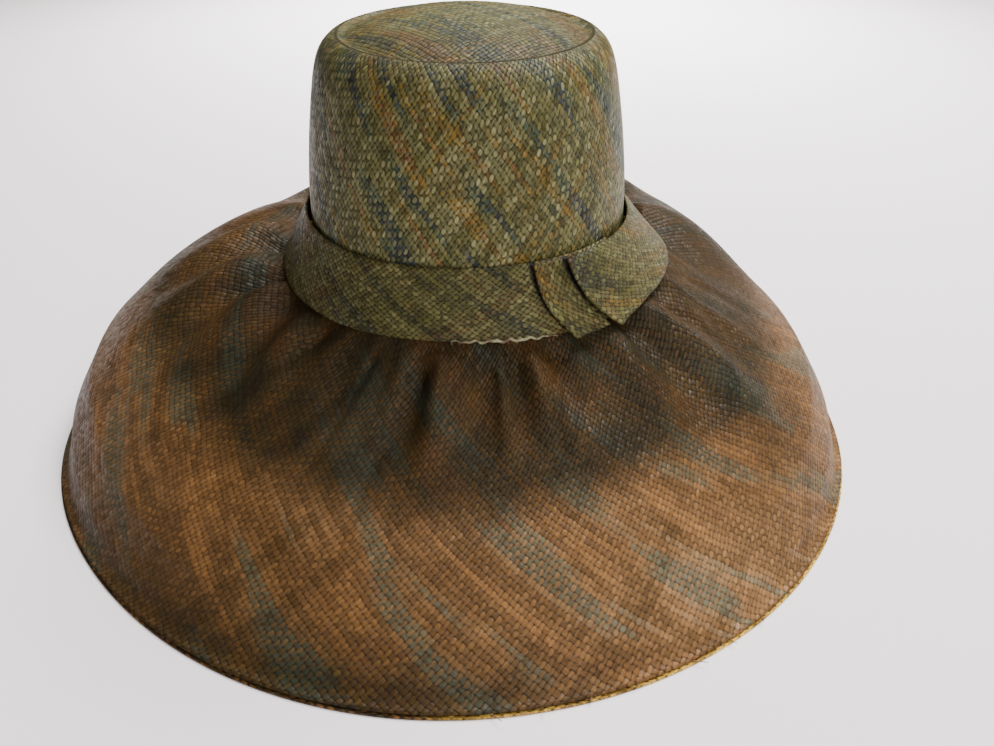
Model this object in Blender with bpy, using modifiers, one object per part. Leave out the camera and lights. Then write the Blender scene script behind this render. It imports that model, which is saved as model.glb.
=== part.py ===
"""Wide-brimmed straw hat with a gathered brim, resting on its rim.

The hat is made of woven straw cloth. The crown is one blocked piece with a
creased tip. The brim is gathered on to the crown's foot and falls in a dome to
the rim. A flared band covers the seam and overlaps itself at the front right,
where a narrow tab slants out from under its end.

Metres, +Z up. The front faces -Y, and the origin is under the middle of the
rim, on the surface that the hat rests on. Azimuths are degrees round the hat
from the front, positive towards +X.
"""

import math

import bmesh
import bpy
from mathutils import Vector

# Driving dimensions
STRAW_WALL = 0.0015
BAND_WALL = 0.0011
SEAT_GAP = 0.0004
LIP_WIDTH = 0.003
CROWN_CENTRE_X = 0.0115
CROWN_FOOT_Z = 0.112
CROWN_TOP_Z = 0.2382
COLLAR_TOP_Z = 0.121
EDGING_HEIGHT = 0.0012
EDGING_WIDTH = 0.0038
EDGING_PROUD = 0.0009
EDGING_GAP = 0.0003

# The band is one strip: its end lies over the tab, and the tab over its start. The places are azimuths,
# and the drops are shares of the band's width
BAND_LAYER = BAND_WALL + SEAT_GAP
BAND_END_TOP = 32.0
BAND_END_TIP = 44.0
BAND_START = 53.0
BAND_END_LIFT = 2.15 * BAND_LAYER
BAND_SETTLES_OVER = 60.0
BAND_CLEARANCE = 0.0012
BAND_SHADE = 0.007
CUT_BOW = 2.5
TIP_DROP = 0.08
TIP_LENGTH = 14.0
TAB_DROP = 0.07
TAB_TOP = (21.5, 34.0)
TAB_FOOT = (30.5, 42.0)

# How finely each piece is divided
CROWN_COLUMNS = 40
BRIM_COLUMNS = 144
BRIM_RINGS = (1.0, 0.88, 0.74, 0.58, 0.44, 0.32, 0.22, 0.14, 0.08, 0.03)
EDGING_COLUMNS = 72
BAND_COLUMNS = 62
BAND_ROWS = 2
TAB_COLUMNS = 3
TAB_ROWS = 4

# The crown's sections from foot to tip: height, half its width (X) and half its depth (Y). Its sides
# end in a ridge, and the low dome of the tip rises from the crease inside it
CROWN_SECTIONS = (
    # z, half_width, half_depth
    (CROWN_FOOT_Z, 0.0860, 0.1020),
    (0.1500, 0.0855, 0.1003),
    (0.1780, 0.0828, 0.0968),
    (0.2020, 0.0790, 0.0928),
    (0.2150, 0.0762, 0.0898),
    (0.2230, 0.0728, 0.0856),
    (0.2280, 0.0676, 0.0800),
    (0.2292, 0.0636, 0.0758),
    (0.2278, 0.0604, 0.0724),
    (0.2330, 0.0460, 0.0560),
    (0.2372, 0.0220, 0.0260),
)

# The band round the crown: its top edge's height, how far its two edges stand off the crown, its width
BAND_SECTIONS = (
    # azimuth, top_z, top_off, foot_off, width
    (0, 0.1450, 0.0004, 0.0090, 0.0340),
    (45, 0.1435, 0.0008, 0.0170, 0.0360),
    (90, 0.1400, 0.0010, 0.0245, 0.0360),
    (135, 0.1410, 0.0006, 0.0110, 0.0330),
    (180, 0.1450, 0.0008, 0.0160, 0.0360),
    (225, 0.1440, 0.0012, 0.0160, 0.0360),
    (270, 0.1420, 0.0022, 0.0185, 0.0360),
    (315, 0.1430, 0.0008, 0.0130, 0.0355),
)

# The brim round the hat: the rim's radius, and heights at BRIM_SHARES of the way out from the crown
BRIM_SHARES = (0.10, 0.25, 0.45, 0.65, 0.85, 0.95)
BRIM_SECTIONS = (
    # azimuth, rim_radius, z at each of BRIM_SHARES
    (0, 0.2320, 0.099, 0.075, 0.053, 0.039, 0.021, 0.010),
    (45, 0.2350, 0.104, 0.089, 0.068, 0.049, 0.026, 0.012),
    (90, 0.2370, 0.109, 0.101, 0.086, 0.069, 0.048, 0.026),
    (135, 0.2350, 0.110, 0.113, 0.109, 0.092, 0.060, 0.034),
    (180, 0.2320, 0.109, 0.113, 0.110, 0.097, 0.067, 0.038),
    (225, 0.2350, 0.108, 0.110, 0.103, 0.088, 0.062, 0.036),
    (270, 0.2373, 0.107, 0.110, 0.102, 0.084, 0.057, 0.031),
    (315, 0.2280, 0.103, 0.091, 0.071, 0.053, 0.028, 0.012),
)

# The brim's soft folds, ridges up and valleys down, which leave the band and fade on the way out
FOLD_HALF_WAY = 0.5
FOLD_STARTS = 0.04
FOLD_FULL = 0.14
FOLD_SPREAD = 0.8
FOLDS = (
    # azimuth_at_band, azimuth_half_way, half_width, rise, fades_at_share
    (5, 4, 3.5, -0.0040, 0.45),
    (15, 13, 3.0, -0.0035, 0.35),
    (17, 28, 3.5, 0.0045, 0.55),
    (25, 34, 3.0, -0.0030, 0.45),
    (44, 45, 4.0, 0.0050, 0.70),
    (51, 53, 3.5, -0.0050, 0.75),
    (58, 61, 4.5, 0.0060, 0.95),
    (76, 67, 4.0, 0.0030, 0.65),
    (104, 96, 5.0, -0.0050, 0.90),
    (116, 112, 5.0, 0.0050, 0.80),
    (128, 131, 4.0, -0.0045, 0.70),
    (144, 141, 4.5, 0.0045, 0.85),
    (163, 167, 4.5, -0.0045, 0.75),
    (178, 176, 4.0, 0.0050, 0.80),
    (196, 192, 4.5, -0.0040, 0.70),
    (214, 217, 5.0, 0.0045, 0.85),
    (232, 230, 4.0, -0.0045, 0.75),
    (247, 257, 4.0, -0.0050, 0.70),
    (255, 268, 4.0, 0.0050, 0.70),
    (268, 275, 3.5, -0.0045, 0.70),
    (275, 283, 4.0, 0.0060, 0.95),
    (283, 290, 3.5, -0.0045, 0.85),
    (292, 297, 4.0, 0.0040, 0.60),
    (300, 308, 4.0, -0.0045, 0.65),
    (308, 318, 4.5, 0.0045, 0.60),
    (335, 331, 3.5, -0.0035, 0.40),
    (349, 347, 3.5, -0.0045, 0.50),
    (356, 354, 3.0, 0.0035, 0.45),
)

# The small gathers between the folds
GATHERS = 36
GATHER_DEPTH = 0.0012
GATHER_FADES = 0.40
GATHER_SWAYS = ((3, 0.9), (5, 0.9))

# The share of the way out over which the brim's slope is measured
SLOPE_STEP = 0.01


def catmull_rom(before, start, end, after, share):
    """Smooth curve from start to end, whose slope follows the values on either side."""
    return 0.5 * (
        2 * start
        + (end - before) * share
        + (2 * before - 5 * start + 4 * end - after) * share**2
        + (3 * start - before - 3 * end + after) * share**3
    )


def smooth_step(low, high, value):
    """0 below low, 1 above high, and a smooth rise between them."""
    share = min(max((value - low) / (high - low), 0), 1)
    return share * share * (3 - 2 * share)


def round_table(rows, column, azimuth):
    """A column's value at any azimuth, from rows that are evenly spaced round the hat."""
    place = (azimuth % 360) / 360 * len(rows)
    row = int(place)
    near = [rows[(row + step) % len(rows)][column] for step in (-1, 0, 1, 2)]
    return catmull_rom(*near, place - row)


def along_values(values, place):
    """Smooth curve through values, at a place counted in values from the first."""
    last = len(values) - 1
    start = min(int(place), last - 1)
    near = [values[min(max(start + step, 0), last)] for step in (-1, 0, 1, 2)]
    return catmull_rom(*near, place - start)


def oval_point(half_width, half_depth, azimuth, off, height):
    """A point that stands a distance off an oval round the crown's axis."""
    angle = math.radians(azimuth)
    outward = Vector((half_depth * math.sin(angle), -half_width * math.cos(angle), 0)).normalized()
    on_oval = Vector((CROWN_CENTRE_X + half_width * math.sin(angle), -half_depth * math.cos(angle), height))
    return on_oval + off * outward


def crown_size(height):
    """Half the crown's width and depth at a height on its sides."""
    for below, above in zip(CROWN_SECTIONS, CROWN_SECTIONS[1:]):
        if height <= above[0]:
            share = max(0, (height - below[0]) / (above[0] - below[0]))
            return tuple(start + (end - start) * share for start, end in zip(below[1:], above[1:]))
    raise ValueError("height is above the crown's sides")


def off_crown(azimuth, off, height):
    """A point that stands a distance off the crown's side."""
    return oval_point(*crown_size(height), azimuth, off, height)


def rim_point(azimuth, inset, height):
    """A point a distance inside the rim."""
    angle = math.radians(azimuth)
    radius = round_table(BRIM_SECTIONS, 1, azimuth) - inset
    return Vector((radius * math.sin(angle), -radius * math.cos(angle), height))


def smooth_brim_point(azimuth, share):
    """A point on the brim's upper face before it is folded, from the crown's foot to the lip."""
    shares = (0, *BRIM_SHARES, 1)
    heights = [round_table(BRIM_SECTIONS, 2 + column, azimuth) for column in range(len(BRIM_SHARES))]
    heights = [CROWN_FOOT_Z, *heights, EDGING_HEIGHT + EDGING_GAP + STRAW_WALL]
    step = max(index for index, start in enumerate(shares[:-1]) if start <= max(share, 0))
    place = step + (share - shares[step]) / (shares[step + 1] - shares[step])
    inner = off_crown(azimuth, SEAT_GAP + STRAW_WALL, CROWN_FOOT_Z)
    point = inner.lerp(rim_point(azimuth, LIP_WIDTH, 0), share)
    point.z = along_values(heights, place)
    return point


def fold_rise(azimuth, share):
    """How far the folds and gathers lift the brim off its smooth shape."""
    rise = 0
    for at_band, half_way, half_width, height, fades_at in FOLDS:
        middle = at_band + (half_way - at_band) * smooth_step(0, FOLD_HALF_WAY, share)
        away = (azimuth - middle + 180) % 360 - 180
        fade = smooth_step(FOLD_STARTS, FOLD_FULL, share) * (1 - smooth_step(fades_at / 3, fades_at, share))
        spread = half_width * (1 + FOLD_SPREAD * share)
        rise += height * fade * math.exp(-((away / spread) ** 2))
    angle = math.radians(azimuth)
    phase = GATHERS * angle + sum(sway * math.sin(waves * angle) for waves, sway in GATHER_SWAYS)
    fade = smooth_step(0, FOLD_FULL, share) * (1 - smooth_step(FOLD_FULL, GATHER_FADES, share))
    return rise + GATHER_DEPTH * fade * math.sin(phase)


def band_edges(azimuth):
    """Height and distance off the crown of the band's top edge, and then of its foot."""
    top_z, top_off, foot_off, width = (round_table(BAND_SECTIONS, column, azimuth) for column in (1, 2, 3, 4))
    return top_z, top_off, top_z - math.sqrt(width**2 - (foot_off - top_off) ** 2), foot_off


def band_ceiling(azimuth, off):
    """The height that the brim stays under, a distance off the crown, so that it clears the band."""
    _, _, foot_z, foot_off = band_edges(azimuth)
    return foot_z - BAND_CLEARANCE + max(0, off - foot_off - BAND_SHADE)


def brim_point(azimuth, share):
    """A point on the folded brim's upper face."""
    point = smooth_brim_point(azimuth, share)
    run = smooth_brim_point(azimuth, min(share + SLOPE_STEP, 1))
    run -= smooth_brim_point(azimuth, max(share - SLOPE_STEP, 0))
    across = Vector((run.x, run.y, 0))
    outward = across.normalized()
    normal = (Vector((0, 0, across.length)) - run.z * outward).normalized()
    point += fold_rise(azimuth, share) * normal
    off = (point - off_crown(azimuth, 0, CROWN_FOOT_Z)).to_2d().length
    point.z = min(point.z, band_ceiling(azimuth, off))
    return point


def band_point(azimuth, rise, lift):
    """A point on the band's outer face, at a share of its width above its foot."""
    top_z, top_off, foot_z, foot_off = band_edges(azimuth)
    off = foot_off + (top_off - foot_off) * rise + BAND_WALL + lift
    return off_crown(azimuth, off, foot_z + (top_z - foot_z) * rise)


def cut_azimuth(foot, top, rise):
    """Azimuth of a slanted, slightly bowed cut across the band, at a share of its width."""
    return foot + (top - foot) * rise - CUT_BOW * math.sin(math.pi * rise)


def azimuths(columns):
    """Evenly spaced azimuths once round the hat."""
    return [360 * column / columns for column in range(columns)]


def straw(name, colour, roughness):
    """Woven straw, by its colour and roughness."""
    material = bpy.data.materials.new(name)
    material.use_nodes = True
    shader = material.node_tree.nodes["Principled BSDF"]
    shader.inputs["Base Color"].default_value = (*colour, 1)
    shader.inputs["Roughness"].default_value = roughness
    shader.inputs["Metallic"].default_value = 0
    material.diffuse_color = (*colour, 1)
    return material


def sheet(name, rings, closed, tip, wall, material, collection):
    """A sheet lofted upwards through rings of points, with its wall behind its outer face."""
    cage = bmesh.new()
    loops = [[cage.verts.new(point) for point in ring] for ring in rings]
    count = len(rings[0])
    for column in range(count if closed else count - 1):
        beside = (column + 1) % count
        for lower, upper in zip(loops, loops[1:]):
            cage.faces.new((lower[column], lower[beside], upper[beside], upper[column]))
    if tip is not None:
        middle = cage.verts.new(tip)
        last = loops[-1]
        for column in range(count):
            cage.faces.new((last[column], last[(column + 1) % count], middle))
    mesh = bpy.data.meshes.new(name)
    cage.to_mesh(mesh)
    cage.free()
    mesh.shade_smooth()
    mesh.materials.append(material)
    piece = bpy.data.objects.new(name, mesh)
    collection.objects.link(piece)
    thickness = piece.modifiers.new("wall", "SOLIDIFY")
    thickness.thickness = wall
    thickness.offset = -1
    return piece


def make_crown(collection):
    """The blocked crown, with a crease round its domed tip."""
    rings = [
        [oval_point(half_width, half_depth, azimuth, 0, height) for azimuth in azimuths(CROWN_COLUMNS)]
        for height, half_width, half_depth in CROWN_SECTIONS
    ]
    tip = Vector((CROWN_CENTRE_X, 0, CROWN_TOP_Z))
    olive = straw("crown_straw", (0.16, 0.14, 0.06), 0.5)
    return sheet("crown", rings, True, tip, STRAW_WALL, olive, collection)


def make_brim(collection):
    """The gathered brim, from the lip of its rim up to its collar round the crown."""
    turns = azimuths(BRIM_COLUMNS)
    lip_z = EDGING_HEIGHT + EDGING_GAP + STRAW_WALL
    lip = [rim_point(azimuth, 0, lip_z) for azimuth in turns]
    slope = [[brim_point(azimuth, share) for azimuth in turns] for share in BRIM_RINGS]
    collar = [off_crown(azimuth, SEAT_GAP + STRAW_WALL, COLLAR_TOP_Z) for azimuth in turns]
    brown = straw("brim_straw", (0.15, 0.10, 0.05), 0.55)
    return sheet("brim", [lip, *slope, collar], True, None, STRAW_WALL, brown, collection)


def make_band(collection):
    """The flared band, from its pointed end, once round the hat, to its start under the tab."""
    rings = []
    for row in range(BAND_ROWS + 1):
        rise = row / BAND_ROWS
        end = cut_azimuth(BAND_END_TIP, BAND_END_TOP, rise)
        ring = []
        for column in range(BAND_COLUMNS + 1):
            turned = (360 + BAND_START - end) * column / BAND_COLUMNS
            lift = BAND_END_LIFT * max(0, 1 - turned / BAND_SETTLES_OVER)
            drop = TIP_DROP * max(0, 1 - turned / TIP_LENGTH) * (1 - rise)
            ring.append(band_point(end + turned, rise - drop, lift))
        rings.append(ring)
    green = straw("band_straw", (0.15, 0.13, 0.06), 0.5)
    return sheet("band", rings, False, None, BAND_WALL, green, collection)


def make_band_tab(collection):
    """The slanted tab, between the band's start and its pointed end."""
    rings = []
    for row in range(TAB_ROWS + 1):
        share = row / TAB_ROWS
        left, right = (cut_azimuth(foot, top, share) for foot, top in zip(TAB_FOOT, TAB_TOP))
        ring = []
        for column in range(TAB_COLUMNS + 1):
            azimuth = left + (right - left) * column / TAB_COLUMNS
            ring.append(band_point(azimuth, share * (1 + TAB_DROP) - TAB_DROP, BAND_LAYER))
        rings.append(ring)
    green = straw("tab_straw", (0.16, 0.13, 0.06), 0.5)
    return sheet("band_tab", rings, False, None, BAND_WALL, green, collection)


def make_rim_edging(collection):
    """The narrow golden ring under the lip, flat where the hat rests on it."""
    turns = azimuths(EDGING_COLUMNS)
    rings = [
        [rim_point(azimuth, inset, EDGING_HEIGHT) for azimuth in turns]
        for inset in (-EDGING_PROUD, EDGING_WIDTH - EDGING_PROUD)
    ]
    golden = straw("edging_straw", (0.50, 0.33, 0.10), 0.5)
    return sheet("rim_edging", rings, True, None, EDGING_HEIGHT, golden, collection)


def main():
    for item in list(bpy.data.objects):
        bpy.data.objects.remove(item)
    collection = bpy.data.collections.new("straw_hat")
    bpy.context.scene.collection.children.link(collection)
    make_crown(collection)
    make_brim(collection)
    make_band(collection)
    make_band_tab(collection)
    make_rim_edging(collection)


main()
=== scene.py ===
# %% [markdown]
# # A wide-brimmed straw hat
#
# The hat is woven from dyed strips of straw, two to three millimetres wide, which cross over and
# under each other. It has a blocked crown with a creased tip, a wide brim that is gathered on to
# the crown's foot, a flared band with a small tab, and a golden edging under the rim.
#
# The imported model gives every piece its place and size. This script models each piece again with
# a fine mesh, gives it a weave, and lights it on a pale floor.

# %% Load the frame
import math

import bmesh
import bpy
import numpy as np
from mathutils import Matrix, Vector


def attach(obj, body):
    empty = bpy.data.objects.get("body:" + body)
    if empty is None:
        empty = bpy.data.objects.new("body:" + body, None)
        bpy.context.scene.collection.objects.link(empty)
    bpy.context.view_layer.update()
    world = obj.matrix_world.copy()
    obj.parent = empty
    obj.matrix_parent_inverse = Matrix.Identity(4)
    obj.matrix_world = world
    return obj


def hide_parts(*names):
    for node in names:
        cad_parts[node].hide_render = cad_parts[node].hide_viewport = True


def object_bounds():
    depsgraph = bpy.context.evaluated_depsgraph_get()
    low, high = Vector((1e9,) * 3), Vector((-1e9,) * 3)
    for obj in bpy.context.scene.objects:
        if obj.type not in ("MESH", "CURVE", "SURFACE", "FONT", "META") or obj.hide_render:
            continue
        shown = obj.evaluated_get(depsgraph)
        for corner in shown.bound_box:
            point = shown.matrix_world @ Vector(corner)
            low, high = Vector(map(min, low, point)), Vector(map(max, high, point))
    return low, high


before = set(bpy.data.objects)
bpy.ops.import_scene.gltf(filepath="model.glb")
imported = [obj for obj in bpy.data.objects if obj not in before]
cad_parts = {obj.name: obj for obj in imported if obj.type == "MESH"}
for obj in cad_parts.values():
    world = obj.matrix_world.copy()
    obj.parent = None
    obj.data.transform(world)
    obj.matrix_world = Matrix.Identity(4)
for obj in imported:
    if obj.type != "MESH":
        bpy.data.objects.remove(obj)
cad_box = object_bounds()
low, high = cad_box
print("the hat measures", [round((b - a) * 1000) for a, b in zip(low, high)], "mm")

# %% [markdown]
# ## Camera
#
# The picture is taken from a little above, with the hat's middle below the middle of the frame.
# The lens comes from the distance at which a real camera stood: a focal length of 850 pixels in a
# picture 994 pixels wide, which is a 31 mm lens on a 36 mm wide sensor.

# %% Set up the camera
PICTURE_WIDTH = 994
FOCAL_PIXELS = 850
SENSOR_WIDTH = 36.0
CAMERA_PLACE = (0.0275, -0.4536, 0.313)
CAMERA_DOWN = 32.57

lens = bpy.data.cameras.new("camera")
lens.sensor_width = SENSOR_WIDTH
lens.lens = FOCAL_PIXELS / PICTURE_WIDTH * SENSOR_WIDTH
camera = bpy.data.objects.new("camera", lens)
camera.location = CAMERA_PLACE
camera.rotation_euler = (math.radians(90 - CAMERA_DOWN), 0, 0)
bpy.context.scene.collection.objects.link(camera)
bpy.context.scene.camera = camera
print("camera with a", round(lens.lens, 1), "mm lens")

# %% [markdown]
# ## Sizes that the pieces share
#
# The crown is given by its sections, the band by its edges round the hat, and the brim by its
# profile at eight places. A smooth curve through each table gives every point between. All
# azimuths are degrees round the hat from the front, positive towards +X.

# %% Tables of the hat's form
STRAW_WALL = 0.0015
BAND_WALL = 0.0011
SEAT_GAP = 0.0004
LIP_WIDTH = 0.003
CROWN_CENTRE_X = 0.0115
CROWN_FOOT_Z = 0.112
CROWN_TOP_Z = 0.2382
COLLAR_TOP_Z = 0.121
EDGING_HEIGHT = 0.0012
EDGING_WIDTH = 0.0038
EDGING_PROUD = 0.0009
EDGING_GAP = 0.0003
BAND_LAYER = BAND_WALL + SEAT_GAP
BAND_END_TOP = 32.0
BAND_END_TIP = 44.0
BAND_START = 53.0
BAND_END_LIFT = 2.15 * BAND_LAYER
BAND_SETTLES_OVER = 60.0
BAND_CLEARANCE = 0.0012
BAND_SHADE = 0.007
CUT_BOW = 2.5
TIP_DROP = 0.08
TIP_LENGTH = 14.0
TAB_DROP = 0.07
TAB_TOP = (21.5, 34.0)
TAB_FOOT = (30.5, 42.0)

CROWN_SECTIONS = (
    # z, half_width, half_depth
    (CROWN_FOOT_Z, 0.0860, 0.1020),
    (0.1500, 0.0855, 0.1003),
    (0.1780, 0.0828, 0.0968),
    (0.2020, 0.0790, 0.0928),
    (0.2150, 0.0762, 0.0898),
    (0.2230, 0.0728, 0.0856),
    (0.2280, 0.0676, 0.0800),
    (0.2292, 0.0636, 0.0758),
    (0.2278, 0.0604, 0.0724),
    (0.2330, 0.0460, 0.0560),
    (0.2372, 0.0220, 0.0260),
)
BAND_SECTIONS = (
    # azimuth, top_z, top_off, foot_off, width
    (0, 0.1450, 0.0004, 0.0090, 0.0340),
    (45, 0.1435, 0.0008, 0.0170, 0.0360),
    (90, 0.1400, 0.0010, 0.0245, 0.0360),
    (135, 0.1410, 0.0006, 0.0110, 0.0330),
    (180, 0.1450, 0.0008, 0.0160, 0.0360),
    (225, 0.1440, 0.0012, 0.0160, 0.0360),
    (270, 0.1420, 0.0022, 0.0185, 0.0360),
    (315, 0.1430, 0.0008, 0.0130, 0.0355),
)
BRIM_SHARES = (0.10, 0.25, 0.45, 0.65, 0.85, 0.95)
BRIM_SECTIONS = (
    # azimuth, rim_radius, z at each of BRIM_SHARES
    (0, 0.2320, 0.099, 0.075, 0.053, 0.039, 0.021, 0.010),
    (45, 0.2350, 0.104, 0.089, 0.068, 0.049, 0.026, 0.012),
    (90, 0.2370, 0.109, 0.101, 0.086, 0.069, 0.048, 0.026),
    (135, 0.2350, 0.110, 0.113, 0.109, 0.092, 0.060, 0.034),
    (180, 0.2320, 0.109, 0.113, 0.110, 0.097, 0.067, 0.038),
    (225, 0.2350, 0.108, 0.110, 0.103, 0.088, 0.062, 0.036),
    (270, 0.2373, 0.107, 0.110, 0.102, 0.084, 0.057, 0.031),
    (315, 0.2280, 0.103, 0.091, 0.071, 0.053, 0.028, 0.012),
)
print(len(BRIM_SECTIONS), "brim profiles,", len(CROWN_SECTIONS), "crown sections")


# %% Smooth curves through the tables
def catmull_rom(before, start, end, after, share):
    """Smooth curve from start to end, whose slope follows the values on either side."""
    return 0.5 * (
        2 * start
        + (end - before) * share
        + (2 * before - 5 * start + 4 * end - after) * share**2
        + (3 * start - before - 3 * end + after) * share**3
    )


def smooth_step(low, high, value):
    """0 below low, 1 above high, and a smooth rise between them."""
    share = np.clip((value - low) / (high - low), 0, 1)
    return share * share * (3 - 2 * share)


def round_table(rows, column, azimuth):
    """A column's value at any azimuths, from rows that are evenly spaced round the hat."""
    values = np.array([row[column] for row in rows])
    place = np.mod(azimuth, 360) / 360 * len(rows)
    row = np.floor(place).astype(int)
    near = [values[(row + step) % len(rows)] for step in (-1, 0, 1, 2)]
    return catmull_rom(*near, place - row)


def along_values(values, place):
    """Smooth curve through rows of values, at places counted in rows from the first."""
    last = len(values) - 1
    start = np.clip(np.floor(place).astype(int), 0, last - 1)
    points = np.arange(len(place))
    near = [values[np.clip(start + step, 0, last), points] for step in (-1, 0, 1, 2)]
    return catmull_rom(*near, place - start)


half_way = along_values(np.array([[1.0], [2.0]]), np.array([0.5]))[0]
print("half way between 1 and 2, the curve gives", half_way)

# %% [markdown]
# ## Crown
#
# The real crown is a tube of woven straw, blocked over a wooden form while it is damp, with its
# tip pressed in so that a soft crease runs round the top. It could be lathed, but its plan is an
# oval. So a straight line of points is spun into a flat disc, and each point of the disc is then
# moved to its place on the oval sections. The disc's own coordinates say which point goes where.


# %% Points on the crown
SIDE_SECTIONS = 8
TIP_EDGE = 4
LEAST_RADIUS = 1e-6


def oval_points(half_width, half_depth, azimuth, off, height):
    """Points that stand a distance off an oval round the crown's axis."""
    angle = np.radians(azimuth)
    across, along = np.sin(angle), -np.cos(angle)
    stretch = np.hypot(half_depth * across, half_width * along)
    x = CROWN_CENTRE_X + half_width * across + off * half_depth * across / stretch
    y = half_depth * along + off * half_width * along / stretch
    return np.stack([x, y, height + 0 * x], axis=-1)


def crown_size(height):
    """Half the crown's width and depth at heights on its sides."""
    sides = np.array(CROWN_SECTIONS[:SIDE_SECTIONS])
    return np.interp(height, sides[:, 0], sides[:, 1]), np.interp(height, sides[:, 0], sides[:, 2])


def off_crown(azimuth, off, height):
    """Points that stand a distance off the crown's side."""
    return oval_points(*crown_size(height), azimuth, off, height)


profile = np.vstack([(CROWN_TOP_Z, 0, 0), CROWN_SECTIONS[::-1]])
middles = np.stack([profile[:, 0], profile[:, 1:].mean(axis=1)], axis=1)
steps = np.linalg.norm(np.diff(middles, axis=0), axis=1)
crown_reach = np.concatenate([[0], np.cumsum(steps)])
print("from the middle of the tip to the foot:", round(crown_reach[-1] * 1000), "mm along the straw")


def crown_points(azimuth, share):
    """Points on the crown's outer face, at shares of the way from the tip's middle to its foot."""
    place = np.interp(share * crown_reach[-1], crown_reach, np.arange(len(profile)))
    rows = [np.repeat(profile[:, column : column + 1], len(place), axis=1) for column in range(3)]
    height, half_width, half_depth = (along_values(row, place) for row in rows)
    half_width, half_depth = (np.maximum(half, LEAST_RADIUS) for half in (half_width, half_depth))
    return oval_points(half_width, half_depth, azimuth, 0, height)


# %% [markdown]
# ## Weave coordinates
#
# A weave must follow the surface, so each sheet of straw carries its own flat pattern, as a UV map
# in metres. Its two coordinates count across the two families of crossing strips. The brim's
# pattern is a narrow fan, nearly a straight strip of cloth, drawn together at the seam. So one
# family slants across the front, runs out towards the rim on the right and round the hat on the
# left, and both close up towards the band.

# %% Flat patterns
STRIP_WIDTHS = (0.0027, 0.0021)
BRIM_STRIP_WIDTHS = (0.0033, 0.0025)
BAND_STRIP_WIDTHS = (0.0023, 0.0021)
TIP_LEAN = 45
CROWN_LEAN = 37.0
CROWN_RADIUS = 0.088
SIDE_SHIFT = 1.0
BRIM_LEAN = 49.5
BRIM_TURN = -4.5
BRIM_FAN = 0.28
BRIM_FAN_START = 0.69
STRIPE_STRIPS = 4.2
BRIM_STRIPE_STRIPS = 6.5
BAND_STRIPE_STRIPS = 5.5


def crossed(x, y, lean):
    """Coordinates across two families of strips that lean to either side of the y axis."""
    turn = math.radians(lean)
    across, along = x * math.cos(turn), y * math.sin(turn)
    return np.stack([across + along, across - along], axis=-1)


def crown_flat(azimuth, share):
    """The crown's flat pattern: a disc for the tip and a strip for the side."""
    reach = share * crown_reach[-1]
    angle = np.radians(azimuth)
    tip = crossed(reach * np.sin(angle), -reach * np.cos(angle), TIP_LEAN)
    side = crossed(CROWN_RADIUS * angle + SIDE_SHIFT, crown_reach[-1] - reach, CROWN_LEAN)
    return np.where((reach < crown_reach[TIP_EDGE])[:, None], tip, side)


# %% Spin a sheet into place
MERGE_DISTANCE = 1e-7
RING_INNER = 0.5


def finish_sheet(name, cloth, wall, place, flat, second=None):
    """Turn a flat bmesh into a shaped sheet with a weave map and a wall behind its outer face.

    second gives the share of the second dyes at each point, if the sheet has them. On the crown, band and
    tab it is painted shade, and on the brim it also holds painted shade and sheen.
    """
    if cloth.faces[:][0].normal.z < 0:
        bmesh.ops.reverse_faces(cloth, faces=cloth.faces[:])
    mesh = bpy.data.meshes.new(name)
    cloth.to_mesh(mesh)
    cloth.free()
    start = np.empty(len(mesh.vertices) * 3)
    mesh.vertices.foreach_get("co", start)
    middle = np.empty(len(mesh.polygons) * 3)
    mesh.polygons.foreach_get("center", middle)
    corners = np.empty(len(mesh.loops), dtype=np.int32)
    mesh.loops.foreach_get("vertex_index", corners)
    sides = np.empty(len(mesh.polygons), dtype=np.int32)
    mesh.polygons.foreach_get("loop_total", sides)
    start, middle = start.reshape(-1, 3), middle.reshape(-1, 3)
    mesh.vertices.foreach_set("co", place(start).ravel())
    weave = mesh.uv_layers.new(name="weave")
    weave.data.foreach_set("uv", flat(start[corners], np.repeat(middle, sides, axis=0)).ravel())
    if second:
        mesh.attributes.new("second_dyes_and_painted_light", "FLOAT", "POINT").data.foreach_set("value", second(start))
    mesh.update()
    mesh.shade_smooth()
    piece = bpy.data.objects.new(name, mesh)
    bpy.context.scene.collection.objects.link(piece)
    thickness = piece.modifiers.new("wall", "SOLIDIFY")
    thickness.thickness = wall
    thickness.offset = -1
    print(name, "has", len(mesh.polygons), "faces")
    return piece


def round_sheet(name, rows, columns, inner, wall, place, flat, second):
    """A sheet spun once round the hat, whose rows run outwards from inner to inner + 1."""
    cloth = bmesh.new()
    ends = [cloth.verts.new((0, -inner, 0)), cloth.verts.new((0, -inner - 1, 0))]
    cloth.edges.new(ends)
    bmesh.ops.subdivide_edges(cloth, edges=cloth.edges[:], cuts=rows - 1)
    line = cloth.verts[:] + cloth.edges[:]
    centre, up = (0, 0, 0), (0, 0, 1)
    bmesh.ops.spin(cloth, geom=line, cent=centre, axis=up, angle=math.tau, steps=columns, use_merge=True)
    bmesh.ops.remove_doubles(cloth, verts=cloth.verts[:], dist=MERGE_DISTANCE)
    bmesh.ops.recalc_face_normals(cloth, faces=cloth.faces[:])

    def turned(points):
        return np.degrees(np.arctan2(points[:, 0], -points[:, 1]))

    def share(points):
        return np.hypot(points[:, 0], points[:, 1]) - inner

    def placed(points):
        return place(turned(points), share(points))

    def flattened(points, middles):
        beside = turned(middles)
        azimuth = beside + (turned(points) - beside + 180) % 360 - 180
        return flat(azimuth, share(points))

    def dyed(points):
        return second(turned(points), share(points))

    return finish_sheet(name, cloth, wall, placed, flattened, dyed)


# %% Make the crown
CROWN_ROWS = 110
CROWN_COLUMNS = 260
TIP_SHADE_PLACE = 0.31
TIP_SHADE_WIDTH = 0.11
TIP_SHADE_TURN = 80.0
TIP_SHADE_DEPTH = 1.4
TIP_SHADE_CLEAR = 0.15


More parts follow.
